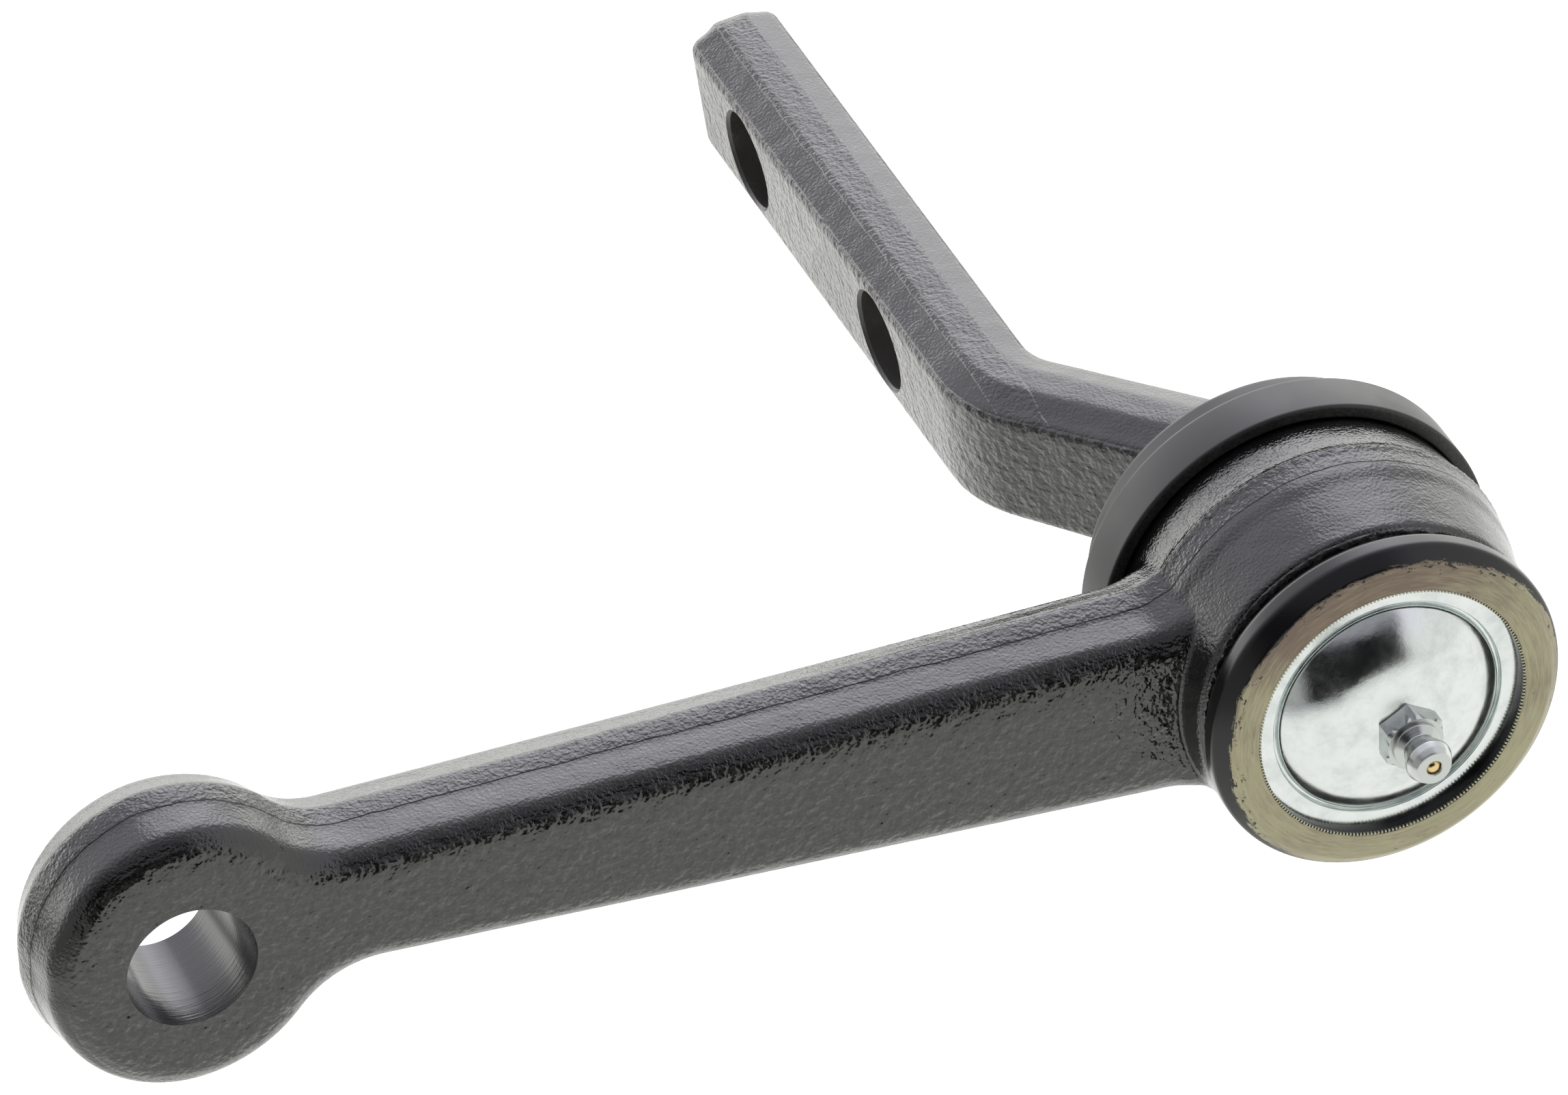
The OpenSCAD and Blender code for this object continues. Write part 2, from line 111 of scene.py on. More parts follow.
def fade(tree, value, low, high, start=0.0, end=1.0):
    """A smooth change from start to end as value goes from low to high."""
    node = add(tree, "ShaderNodeMapRange", interpolation_type="SMOOTHSTEP")
    tree.links.new(value, node.inputs["Value"])
    for name, number in (("From Min", low), ("From Max", high), ("To Min", start), ("To Max", end)):
        node.inputs[name].default_value = number
    return node.outputs["Result"]


world = bpy.data.worlds.new("studio")
world.use_nodes = True
scene.world = world
sky = world.node_tree
sky.nodes.clear()
look = sky.nodes.new("ShaderNodeTexCoord").outputs["Generated"]


def lobe(direction, inner, outer):
    """1 inside a cone of directions round the given one, fading to 0 at its outer angle."""
    dot = add(sky, "ShaderNodeVectorMath", operation="DOT_PRODUCT")
    sky.links.new(look, dot.inputs[0])
    dot.inputs[1].default_value = Vector(direction).normalized()
    return fade(sky, dot.outputs["Value"], math.cos(math.radians(outer)), math.cos(math.radians(inner)))


toward = add(sky, "ShaderNodeSeparateXYZ")
sky.links.new(look, toward.inputs[0])
right, ahead, up = toward.outputs
tilted = sums(sky, "SUBTRACT", up, sums(sky, "MULTIPLY", sums(sky, "MINIMUM", right, 0.0), 0.38))


def region(*bounds):
    """1 where every value lies between its limits, with soft borders."""
    mask = 1.0
    for value, low, high in bounds:
        mask = sums(sky, "MULTIPLY", fade(sky, value, low, high), mask)
    return mask


left_of_part = sums(sky, "MINIMUM", sums(sky, "SUBTRACT", right, 0.3), 0.0)
lifted = sums(sky, "SUBTRACT", up, sums(sky, "MULTIPLY", left_of_part, 0.25))
softbox = lobe((0.40, 0.56, 0.72), 8, 26)
backdrop = region((ahead, 0.35, 0.80), (lifted, 0.66, 0.50))
behind = region((ahead, 0.2, 0.5))
curtain = region(
    (tilted, 0.02, 0.13), (up, 0.66, 0.54), (right, -0.78, -0.62), (right, 0.52, 0.40), (ahead, -0.25, -0.45),
)
ceiling = region((ahead, 0.05, -0.35), (up, 0.45, 0.55), (right, 0.60, 0.40))
left_side = region((right, -0.45, -0.75), (ahead, 0.4, 0.0))
level = 0.92
for lamp, strength in ((softbox, 1.5), (backdrop, 1.5), (behind, 0.35)):
    level = sums(sky, "ADD", sums(sky, "MULTIPLY", lamp, strength), level)
for shade, share in ((curtain, 0.985), (ceiling, 0.6), (left_side, 0.5)):
    level = sums(sky, "MULTIPLY", level, sums(sky, "SUBTRACT", 1.0, sums(sky, "MULTIPLY", shade, share)))
seen = sky.nodes.new("ShaderNodeLightPath").outputs["Is Camera Ray"]
level = sums(sky, "MAXIMUM", level, seen)
tint = add(sky, "ShaderNodeMix", data_type="RGBA")
tint.inputs[6].default_value = (1.0, 1.0, 0.97, 1.0)
tint.inputs[7].default_value = (0.99, 0.975, 1.06, 1.0)
sky.links.new(fade(sky, up, 0.1, 0.7), tint.inputs[0])
plain = add(sky, "ShaderNodeMix", data_type="RGBA")
sky.links.new(seen, plain.inputs[0])
sky.links.new(tint.outputs[2], plain.inputs[6])
plain.inputs[7].default_value = (1.0, 1.0, 1.0, 1.0)
background = sky.nodes.new("ShaderNodeBackground")
sky.links.new(plain.outputs[2], background.inputs["Color"])
sky.links.new(level, background.inputs["Strength"])
sky.links.new(background.outputs[0], sky.nodes.new("ShaderNodeOutputWorld").inputs["Surface"])

table_drop, table_reach = 0.22, 4.0
table_level = solid_box[0][2] - table_drop
table_mesh = bpy.data.meshes.new("table")
table_mesh.from_pydata(
    [(x * table_reach, y * table_reach, table_level) for x, y in ((-1, -1), (1, -1), (1, 1), (-1, 1))],
    [], [(0, 1, 2, 3)],
)
table = bpy.data.objects.new("table", table_mesh)
scene.collection.objects.link(table)
paper = bpy.data.materials.new("white_paper")
paper.use_nodes = True
sheet = paper.node_tree
sheet.nodes.clear()
matt = sheet.nodes.new("ShaderNodeBsdfDiffuse")
glow = sheet.nodes.new("ShaderNodeEmission")
rays = sheet.nodes.new("ShaderNodeLightPath")
direct = sums(sheet, "MAXIMUM", rays.outputs["Is Camera Ray"], rays.outputs["Is Glossy Ray"])
direct = sums(sheet, "MAXIMUM", direct, rays.outputs["Is Transmission Ray"])
# Painted shade on the table: the paper's colour darkens and its glow for camera, glossy and transmission rays dims
# towards the far left, and the glow also dims towards the camera's side.
spot = add(sheet, "ShaderNodeSeparateXYZ")
sheet.links.new(sheet.nodes.new("ShaderNodeTexCoord").outputs["Object"], spot.inputs[0])
lit = fade(sheet, spot.outputs["X"], -1.5, -0.4)
bright = sums(sheet, "MULTIPLY", fade(sheet, spot.outputs["Y"], -0.2, 0.3, 0.25, 0.8), lit)
sheet.links.new(sums(sheet, "MULTIPLY", direct, bright), glow.inputs["Strength"])
shaded = add(sheet, "ShaderNodeMix", data_type="RGBA")
shaded.inputs[6].default_value = (0.40, 0.40, 0.38, 1.0)
shaded.inputs[7].default_value = (0.82, 0.825, 0.75, 1.0)
sheet.links.new(lit, shaded.inputs[0])
sheet.links.new(shaded.outputs[2], matt.inputs["Color"])
both = sheet.nodes.new("ShaderNodeAddShader")
sheet.links.new(matt.outputs[0], both.inputs[0])
sheet.links.new(glow.outputs[0], both.inputs[1])
sheet.links.new(both.outputs[0], sheet.nodes.new("ShaderNodeOutputMaterial").inputs["Surface"])
table_mesh.materials.append(paper)

# Frame bracket: one steel forging, a flat leg with two bolt holes, a bend, and a jog up to the
# round boss from which the stud stands. Trimmed along its parting line, shot-blasted, then dipped
# in black. Two bolts through the holes hold it to the frame rail.

face_offset = 27.6
bolts_to_cover = 136.3
bolt_gap = 49.6
bolt_hole_r = 7.25
leg_t = 13.4
leg_h = 21.2
leg_end = 21.0
leg_edge_r = 1.6
leg_draft, leg_back_draft = 1.5, 0.7
leg_trim = (4.2, 9.2)
jog_angle = math.radians(36)
bend_r = 16.0
jog_end = (3.0, -50.0)
shoulder_depth = 43.6


def placed(x, y, z, rise=0.0):
    """A point of the pivot's frame, in mm, as one of the row frame, in metres."""
    turn = math.radians(rise)
    across = x * math.cos(turn) + y * math.sin(turn)
    up = y * math.cos(turn) - x * math.sin(turn)
    return Vector(((across + face_offset) / 1000, -(z + bolts_to_cover) / 1000, up / 1000))


def finished(name, bm, materials, sharp=30):
    """The object of a finished mesh, with faces outwards and smooth but for its sharp edges."""
    bmesh.ops.recalc_face_normals(bm, faces=bm.faces)
    mesh = bpy.data.meshes.new(name)
    bm.to_mesh(mesh)
    bm.free()
    for material in materials:
        mesh.materials.append(material)
    for face in mesh.polygons:
        face.use_smooth = True
    mesh.set_sharp_from_angle(angle=math.radians(sharp))
    piece = bpy.data.objects.new(name, mesh)
    scene.collection.objects.link(piece)
    return piece


def lofted(bm, rings, rise=0.0):
    """A closed skin through rings of points that have the same count, with flat ends."""
    loops = [[bm.verts.new(placed(*point, rise)) for point in ring] for ring in rings]
    for near, far in zip(loops, loops[1:]):
        for i, corner in enumerate(near):
            j = (i + 1) % len(near)
            bm.faces.new((corner, near[j], far[j], far[i]))
    for loop in (loops[0], loops[-1]):
        half = len(loop) // 2
        for i in range(half - 1):
            quad = [loop[i], loop[i + 1], loop[-2 - i], loop[-1 - i]]
            bm.faces.new(list(dict.fromkeys(quad)))


def rounded(corners, steps=6):
    """A profile whose corners (radius, level, fillet) are rounded off."""
    points = []
    for i, (r, z, fillet) in enumerate(corners):
        here = Vector((r, z))
        back = Vector(corners[i - 1][:2]) - here
        ahead = Vector(corners[(i + 1) % len(corners)][:2]) - here
        if fillet == 0 or back.length == 0 or ahead.length == 0:
            points.append(tuple(here))
            continue
        half = back.angle(ahead) / 2
        reach = min(fillet / math.tan(half), back.length * 0.48, ahead.length * 0.48)
        start, end = here + back.normalized() * reach, here + ahead.normalized() * reach
        for k in range(steps + 1):
            t = k / steps
            points.append(tuple(start * (1 - t) ** 2 + here * 2 * t * (1 - t) + end * t * t))
    return points


def turned(bm, profile, sides=192, centre=(0.0, 0.0), rise=0.0):
    """A closed solid of revolution about an axis beside the pivot's; a radius of 0 is a pole."""
    columns = []
    for k in range(sides):
        angle = 2 * math.pi * k / sides
        columns.append([(centre[0] + r * math.cos(angle), centre[1] + r * math.sin(angle), z) for r, z in profile])
    poles = {i: bm.verts.new(placed(*columns[0][i], rise)) for i, (r, _) in enumerate(profile) if r == 0}
    verts = [[poles.get(i) or bm.verts.new(placed(*p, rise)) for i, p in enumerate(column)] for column in columns]
    for k, column in enumerate(verts):
        beside = verts[(k + 1) % sides]
        for i in range(len(profile)):
            j = (i + 1) % len(profile)
            ring = list(dict.fromkeys((column[i], beside[i], beside[j], column[j])))
            if len(ring) > 2:
                bm.faces.new(ring)


def cut_and_smoothed(piece, voxel, passes, cutters):
    """Fuses the overlapping solids of a forging into one skin, softens it and bores it out."""
    fuse = piece.modifiers.new("fuse", "REMESH")
    fuse.mode = "VOXEL"
    fuse.voxel_size = voxel
    fuse.use_smooth_shade = True
    soften = piece.modifiers.new("soften", "SMOOTH")
    soften.factor = 0.5
    soften.iterations = passes
    for cutter in cutters:
        bore = piece.modifiers.new("bore", "BOOLEAN")
        bore.operation = "DIFFERENCE"
        bore.object = cutter
        bore.material_mode = "TRANSFER"
    evaluated = piece.evaluated_get(bpy.context.evaluated_depsgraph_get())
    mesh = bpy.data.meshes.new_from_object(evaluated)
    piece.modifiers.clear()
    old, piece.data = piece.data, mesh
    mesh.name = piece.name
    bpy.data.meshes.remove(old)
    for cutter in cutters:
        bpy.data.objects.remove(cutter)
    for face in mesh.polygons:
        face.use_smooth = True
    mesh.set_sharp_from_angle(angle=math.radians(34))


# What the dies and the blasting shot leave on the steel: an orange peel on the faces that the dies
# pressed, much finer on the drafted sides that slid out of them, and rough again on the band where
# the flash was trimmed.
grain_group = bpy.data.node_groups.new("forged_grain", "ShaderNodeTree")
for name, kind, flow in (
    ("Grains per metre", "NodeSocketFloat", "INPUT"),
    ("Pressed along", "NodeSocketVector", "INPUT"),
    ("Pressed above", "NodeSocketFloat", "INPUT"),
    ("Trimmed from", "NodeSocketFloat", "INPUT"),
    ("Trimmed to", "NodeSocketFloat", "INPUT"),
    ("Height", "NodeSocketFloat", "OUTPUT"),
    ("Patches", "NodeSocketFloat", "OUTPUT"),
    ("Crests", "NodeSocketFloat", "OUTPUT"),
):
    grain_group.interface.new_socket(name, in_out=flow, socket_type=kind)
grain_in = grain_group.nodes.new("NodeGroupInput")
grain_out = grain_group.nodes.new("NodeGroupOutput")
spot_now = grain_group.nodes.new("ShaderNodeTexCoord")


def grain_noise(share, detail, roughness):
    texture = add(grain_group, "ShaderNodeTexNoise", Detail=detail, Roughness=roughness)
    grain_group.links.new(spot_now.outputs["Object"], texture.inputs["Vector"])
    grain_group.links.new(sums(grain_group, "MULTIPLY", grain_in.outputs[0], share), texture.inputs["Scale"])
    return texture.outputs["Fac"]


def along_press(vector):
    dot = add(grain_group, "ShaderNodeVectorMath", operation="DOT_PRODUCT")
    grain_group.links.new(vector, dot.inputs[0])
    grain_group.links.new(grain_in.outputs[1], dot.inputs[1])
    return dot.outputs["Value"]


def grain_sum(*terms):
    total = 0.0
    for value, share in terms:
        total = sums(grain_group, "ADD", sums(grain_group, "MULTIPLY", value, share), total)
    return total


facing = sums(grain_group, "ABSOLUTE", along_press(spot_now.outputs["Normal"]))
pressed = fade(grain_group, sums(grain_group, "SUBTRACT", facing, grain_in.outputs["Pressed above"]), 0.0, 0.18)
place_along = along_press(spot_now.outputs["Object"])
wander = sums(grain_group, "MULTIPLY", sums(grain_group, "SUBTRACT", grain_noise(0.12, 2.0, 0.6), 0.5), 0.0010)
place_along = sums(grain_group, "ADD", place_along, wander)
blur = 0.00012
after = sums(grain_group, "SUBTRACT", place_along, grain_in.outputs["Trimmed from"])
before = sums(grain_group, "SUBTRACT", grain_in.outputs["Trimmed to"], place_along)
trimmed = sums(grain_group, "MULTIPLY", fade(grain_group, after, -blur, blur), fade(grain_group, before, -blur, blur))
slid = sums(grain_group, "SUBTRACT", 1.0, pressed)
rough_band = sums(grain_group, "MULTIPLY", trimmed, slid)
peel = grain_sum((grain_noise(1.0, 1.5, 0.5), 1.0), (grain_noise(0.33, 1.0, 0.5), 1.0))
fine_grain = grain_noise(2.2, 1.0, 0.5)
side = grain_sum((fine_grain, 0.24), (grain_noise(0.2, 1.0, 0.5), 0.55))
band = grain_sum((grain_noise(1.3, 1.5, 0.5), 0.4), (fine_grain, 0.06))
height = 0.0
for share, relief in ((pressed, peel), (slid, side), (rough_band, band)):
    height = sums(grain_group, "ADD", sums(grain_group, "MULTIPLY", share, relief), height)
grain_group.links.new(height, grain_out.inputs["Height"])
grain_group.links.new(grain_noise(0.045, 2.0, 0.5), grain_out.inputs["Patches"])
# Crests: the grain's crests on the pressed faces, which take a lighter colour than the hollows between them; partly
# rubbed wear, partly painted shade in the hollows.
crests = fade(grain_group, grain_sum((grain_noise(0.9, 3.0, 0.6), 0.7), (fine_grain, 0.3)), 0.42, 0.64)
grain_group.links.new(sums(grain_group, "MULTIPLY", crests, pressed), grain_out.inputs["Crests"])


def black_coat(
    name, dark, pale, roughness, grains, depth, index=1.75, press=(0.0, 1.0, 0.0), above=0.8, trim=(0.0, 0.0),
):
    """Satin black coat over blasted steel. The dies pressed along `press`, the faces whose normal is
    more than `above` along it are grained, and the flash was trimmed between the two levels `trim`."""
    coat = bpy.data.materials.new(name)
    coat.use_nodes = True
    tree = coat.node_tree
    shader = tree.nodes["Principled BSDF"]
    grain = tree.nodes.new("ShaderNodeGroup")
    grain.node_tree = grain_group
    grain.inputs["Grains per metre"].default_value = grains
    grain.inputs["Pressed along"].default_value = press
    grain.inputs["Pressed above"].default_value = above
    grain.inputs["Trimmed from"].default_value = trim[0]
    grain.inputs["Trimmed to"].default_value = trim[1]
    mix = add(tree, "ShaderNodeMix", data_type="RGBA")
    mix.inputs[6].default_value = (*dark, 1.0)
    mix.inputs[7].default_value = (*pale, 1.0)
    tree.links.new(grain.outputs["Patches"], mix.inputs[0])
    # The grain's crests take a lighter colour: partly rubbed wear, partly painted shade in the hollows between them.
    crest_wear_and_pit_shade = add(tree, "ShaderNodeMix", data_type="RGBA")
    crest_wear_and_pit_shade.inputs[7].default_value = (0.042, 0.042, 0.037, 1.0)
    tree.links.new(grain.outputs["Crests"], crest_wear_and_pit_shade.inputs[0])
    tree.links.new(mix.outputs[2], crest_wear_and_pit_shade.inputs[6])
    tree.links.new(crest_wear_and_pit_shade.outputs[2], shader.inputs["Base Color"])
    tree.links.new(
        fade(tree, grain.outputs["Patches"], 0.3, 0.7, roughness - 0.04, roughness + 0.04), shader.inputs["Roughness"]
    )
    shader.inputs["IOR"].default_value = index
    bump = add(tree, "ShaderNodeBump", Strength=1.0, Distance=depth)
    tree.links.new(grain.outputs["Height"], bump.inputs["Height"])
    tree.links.new(bump.outputs["Normal"], shader.inputs["Normal"])
    return coat


bracket_coat = black_coat(
    "bracket_coat", (0.005, 0.005, 0.005), (0.007, 0.007, 0.007), 0.20, 1000.0, 0.00036,
    press=(1.0, 0.0, 0.0), above=0.55, trim=tuple(level / 1000 for level in leg_trim),
)
# The bolt holes get a paler copy of the black coat: painted light on their bore walls.
hole_coat_painted_light = black_coat("hole_coat_painted_light", (0.012, 0.011, 0.010), (0.045, 0.040, 0.035), 0.42, 500.0, 0.00030)

leg_mid = leg_t / 2 - face_offset
hole_levels = (-bolts_to_cover - bolt_gap / 2, -bolts_to_cover + bolt_gap / 2)
leg_tip = hole_levels[0] - leg_end
bend_start = jog_end[1] - (jog_end[0] - leg_mid) / math.tan(jog_angle) - bend_r * math.tan(jog_angle / 2)

# Stations down the bar: [x, z, turn, inset of the sides, inset of the faces]
tip_steps, bend_steps = 8, 16
stations = []
for i in range(tip_steps + 1):
    a = math.pi / 2 * i / tip_steps
    left = 1 - math.sin(a)
    stations.append((leg_mid, leg_tip + 3.0 * (1 - math.cos(a)), 0.0, 1.8 * left, 3.4 * left))
stations.append((leg_mid, (leg_tip + bend_start) / 2, 0.0, 0.0, 0.0))
for i in range(bend_steps + 1):
    a = jog_angle * i / bend_steps
    stations.append((leg_mid + bend_r * (1 - math.cos(a)), bend_start + bend_r * math.sin(a), a, 0.0, 0.0))
stations.append((*jog_end, jog_angle, -1.0, 0.0))


def bar_ring(x, z, turn, side_in, face_in):
    """The bar's drafted section at one station."""
    t, h, r = leg_t / 2 - face_in, leg_h / 2 - side_in, leg_edge_r
    front, back = h - leg_draft, h - leg_back_draft
    band_from = max(leg_trim[0] - leg_t / 2, 0.3 + r - t)
    band_to = min(leg_trim[1] - leg_t / 2, t - r - 0.3)
    half = [(-t, front - r)]
    half += [(-t + r * (1 - math.cos(a)), front - r + r * math.sin(a)) for a in (0.4, 0.8, 1.2, math.pi / 2)]
    half += [(band_from, h - 0.3), (band_from + 0.6, h), (band_to, h)]
    half += [(t - r * (1 - math.cos(a)), back - r + r * math.sin(a)) for a in (math.pi / 2, 1.2, 0.8, 0.4)]
    half.append((t, back - r))
    loop = half + [(across, -height) for across, height in reversed(half)]
    return [(x + p * math.cos(turn), q, z - p * math.sin(turn)) for p, q in loop]


bracket_bm = bmesh.new()
lofted(bracket_bm, [bar_ring(*station) for station in stations])
boss_r, boss_round, boss_depth = 15.8, 7, 16
boss = [(0.0, -shoulder_depth - boss_depth)]
for degrees in range(-75, 1, 15):
    a = math.radians(degrees)
    out, along = boss_round * (math.cos(a) - 1), boss_round * (math.sin(a) - 1)
    boss.append((boss_r + out, along - shoulder_depth))
boss += [(boss_r, -shoulder_depth), (0.0, -shoulder_depth)]
turned(bracket_bm, boss)
bracket = finished("bracket_forging_skin", bracket_bm, [bracket_coat])

drills = []
for level_z in hole_levels:
    drill_bm = bmesh.new()
    ring_count = 96
    ends = []
    # Depth into the leg, and how much the broken edge widens the hole there
    for x, flare in ((-2.0, 1.0), (0.0, 0.35), (0.5, 0.0), (leg_t - 0.5, 0.0), (leg_t, 0.35), (leg_t + 2, 1.0)):
        ends.append([
            drill_bm.verts.new(placed(
                x - face_offset,
                (bolt_hole_r + flare) * math.sin(2 * math.pi * k / ring_count),
                level_z + (bolt_hole_r + flare) * math.cos(2 * math.pi * k / ring_count),
            ))
            for k in range(ring_count)
        ])
    for near, far in zip(ends, ends[1:]):
        for k in range(ring_count):
            drill_bm.faces.new((near[k], near[k - 1], far[k - 1], far[k]))
    drill_bm.faces.new(ends[0])
    drill_bm.faces.new(ends[-1])
    drills.append(finished("drill", drill_bm, [hole_coat_painted_light]))
cut_and_smoothed(bracket, 0.00048, 3, drills)
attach(bracket, "bracket")
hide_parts("bracket_forging")

# Stud: the end of the same forging that the housing hides, turned bright. It has the seal's seat,
# the lower cone, the seat of the upper cone, and the thread, with a drilled way for the grease.

cone_large_r, cone_small_r, run_gap = 14.4, 10.6, 0.05
stud_r, thread_r = 9.0, 8.0
bore_floor, washer_base, spring_t, stud_end = -29.6, -8.3, 1.4, 0.4
bearing_mid = (bore_floor + washer_base - spring_t) / 2
stud_profile = [
    (0.0, -shoulder_depth - 4), (cone_large_r, -shoulder_depth - 4), (cone_large_r, bore_floor - run_gap),
    (cone_small_r - run_gap, bearing_mid - run_gap), (stud_r, bearing_mid - run_gap),
    (stud_r, washer_base - spring_t / 2), (thread_r, washer_base - spring_t / 2), (thread_r, stud_end - 0.8),
    (thread_r - 0.8, stud_end), (2.0, stud_end), (2.0, bearing_mid), (0.0, bearing_mid),
]


def turned_steel(name, colour, roughness, marks, depth):
    """Bare turned or ground metal: fine rings of tool marks about the pivot, and faint patches."""
    metal = bpy.data.materials.new(name)
    metal.use_nodes = True
    tree = metal.node_tree
    shader = tree.nodes["Principled BSDF"]
    shader.inputs["Metallic"].default_value = 1.0
    here = tree.nodes.new("ShaderNodeTexCoord").outputs["Object"]
    stretch = add(tree, "ShaderNodeMapping", vector_type="POINT")
    stretch.inputs["Scale"].default_value = (60.0, marks, 60.0)
    tree.links.new(here, stretch.inputs["Vector"])
    rings = add(tree, "ShaderNodeTexNoise", Scale=1.0, Detail=2.0)
    tree.links.new(stretch.outputs[0], rings.inputs["Vector"])
    patches = add(tree, "ShaderNodeTexNoise", Scale=160.0, Detail=3.0)
    tree.links.new(here, patches.inputs["Vector"])
    tint = add(tree, "ShaderNodeMix", data_type="RGBA")
    tint.inputs[6].default_value = (*[c * 0.86 for c in colour], 1.0)
    tint.inputs[7].default_value = (*colour, 1.0)
    tree.links.new(patches.outputs["Fac"], tint.inputs[0])
    tree.links.new(tint.outputs[2], shader.inputs["Base Color"])
    tree.links.new(
        fade(tree, patches.outputs["Fac"], 0.3, 0.7, roughness - 0.05, roughness + 0.05), shader.inputs["Roughness"]
    )
    bump = add(tree, "ShaderNodeBump", Strength=1.0, Distance=depth)
    tree.links.new(rings.outputs["Fac"], bump.inputs["Height"])
    tree.links.new(bump.outputs["Normal"], shader.inputs["Normal"])
    return metal


bright_steel = turned_steel("bright_steel", (0.60, 0.61, 0.63), 0.28, 6000.0, 0.000004)
stud_bm = bmesh.new()
turned(stud_bm, stud_profile)
stud = finished("stud_turned", stud_bm, [bright_steel])
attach(stud, "bracket")
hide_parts("bracket_forging")

# Arm: one steel forging, with the eye and its tapered hole, the drafted shank and the round
# housing. The flash of the two dies is trimmed to a band along the parting line; it is blasted,
# then dipped in black, and turns on the stud.

arm_reach, arm_rise = 163.6, 6.9
arm_front, arm_back, parting = -10.7, -27.7, -21.7
front_inset, front_round, front_drop = 1.0, 4.4, 3.8
shank_top, shank_top_rise, shank_low_eye, shank_low_housing = 11.5, 1.5, 8.8, 15.6
edge_r = 2.8
eye_r, eye_tip, eye_hole_r, eye_taper = 21.4, 20.2, 8.95, 8.0
housing_r, housing_front_r, housing_front, housing_rear, rear_draft = 27.3, 24.5, -4.2, -31.6, 1.1


def arc(centre, r, start, end, steps):
    """Points along an arc, angles in degrees."""
    angles = [math.radians(start + (end - start) * i / steps) for i in range(steps + 1)]
    return [(centre[0] + r * math.cos(a), centre[1] + r * math.sin(a)) for a in angles]


def side_steps(rounds=8):
    """The forging's side as steps of (level, inset) from its front face round to its back."""
    angles = [math.pi / 2 * i / rounds for i in range(rounds + 1)]
    front = [
        (arm_front - front_drop * (1 - math.cos(a)), front_inset + front_round * (1 - math.sin(a))) for a in angles
    ]
    back = [(arm_back + edge_r * (1 - math.cos(a)), 0.9 + edge_r * (1 - math.sin(a))) for a in angles]
    return front + [(parting + 3.7, 0.62), (parting + 3.0, 0.42), (parting, 0.0)] + back[::-1]


def housing_at(z):
    """The housing's radius at one level, drafted both ways from the parting line."""
    if z > parting:
        return housing_r - (housing_r - housing_front_r) * (z - parting) / (housing_front - parting)
    return housing_r - rear_draft * (parting - z) / (parting - housing_rear)


def plan_edge(at_eye, at_housing, fillet, inset, z):
    """One edge of the arm in plan at one inset: from inside the housing, along the shank and round
    the eye. The first point is sunk in the housing, so that the two solids overlap."""
    re, rh = eye_r - inset * 1.3, housing_at(z)
    corner, shoulder = fillet + inset, 9.0 + inset
    sunk_angle, sunk = 32, 6
    ec = (math.sqrt((re + corner) ** 2 - (at_eye + corner) ** 2) - arm_reach, at_eye + corner)
    hc = (-math.sqrt((rh + shoulder) ** 2 - (at_housing + shoulder) ** 2), at_housing + shoulder)
    at_e = math.degrees(math.atan2(ec[1], ec[0] + arm_reach))
    at_h = math.degrees(math.atan2(hc[1], hc[0])) - 180 - sunk_angle
    lead = math.radians(at_h)
    squash = (eye_tip - inset * 1.3) / re
    start = (
        hc[0] + shoulder * math.cos(lead) - sunk * math.sin(lead),
        hc[1] + shoulder * math.sin(lead) + sunk * math.cos(lead),
    )
    eye = [(x * (squash if x < 0 else 1) - arm_reach, y) for x, y in arc((0, 0), re, at_e, 173, 40)]
    return [start] + arc(hc, shoulder, at_h, -90, 10) + arc(ec, corner, -90, at_e - 180, 12) + eye[1:]


steps = side_steps()
upper = [plan_edge(shank_top - s, shank_top + shank_top_rise - s * 1.7, 12.0, s, z) for z, s in steps]
lower = [plan_edge(shank_low_eye - s, shank_low_housing - s * 1.2, 13.0, s, z) for z, s in steps]
rings = []
for i in range(len(upper[0])):
    ring = [(edge[i][0], edge[i][1], z) for edge, (z, _) in reversed(list(zip(upper, steps)))]
    ring += [(edge[i][0], -edge[i][1], z) for edge, (z, _) in zip(lower, steps)]
    rings.append(ring)

arm_coat = black_coat(
    "arm_coat", (0.004, 0.004, 0.004), (0.006, 0.006, 0.006), 0.16, 1000.0, 0.00041, trim=(-0.1179, -0.1146),
)
eye_coat = black_coat("eye_coat", (0.010, 0.010, 0.011), (0.014, 0.014, 0.015), 0.22, 500.0, 0.00003)
tree = eye_coat.node_tree
reamed = add(tree, "ShaderNodeMapping", vector_type="POINT")
reamed.inputs["Scale"].default_value = (130.0, 2600.0, 130.0)
tree.links.new(tree.nodes.new("ShaderNodeTexCoord").outputs["Object"], reamed.inputs["Vector"])
marks = add(tree, "ShaderNodeTexNoise", Scale=1.0, Detail=2.5, Roughness=0.65)
tree.links.new(reamed.outputs[0], marks.inputs["Vector"])
tree.links.new(marks.outputs["Fac"], tree.nodes["Bump"].inputs["Height"])

arm_bm = bmesh.new()
lofted(arm_bm, rings, arm_rise)
housing_profile = [
    (0.0, housing_rear), (housing_at(housing_rear) - 2, housing_rear),
    (housing_at(housing_rear) - 0.6, housing_rear + 0.6),
    (housing_at(housing_rear), housing_rear + 1.4), (housing_r - 0.2, parting - 0.4), (housing_r + 0.35, parting),
    (housing_r - 0.1, parting + 0.5), (housing_at(parting + 4.6) + 0.15, parting + 4.6),
    (housing_at(parting + 6.4) - 0.15, parting + 6.4), (housing_front_r, -6.5),
    (housing_front_r - 0.4, -6.0), (22.6, -5.8), (0.0, -5.8),
]
turned(arm_bm, housing_profile, rise=arm_rise)
arm = finished("arm_forging_skin", arm_bm, [arm_coat])

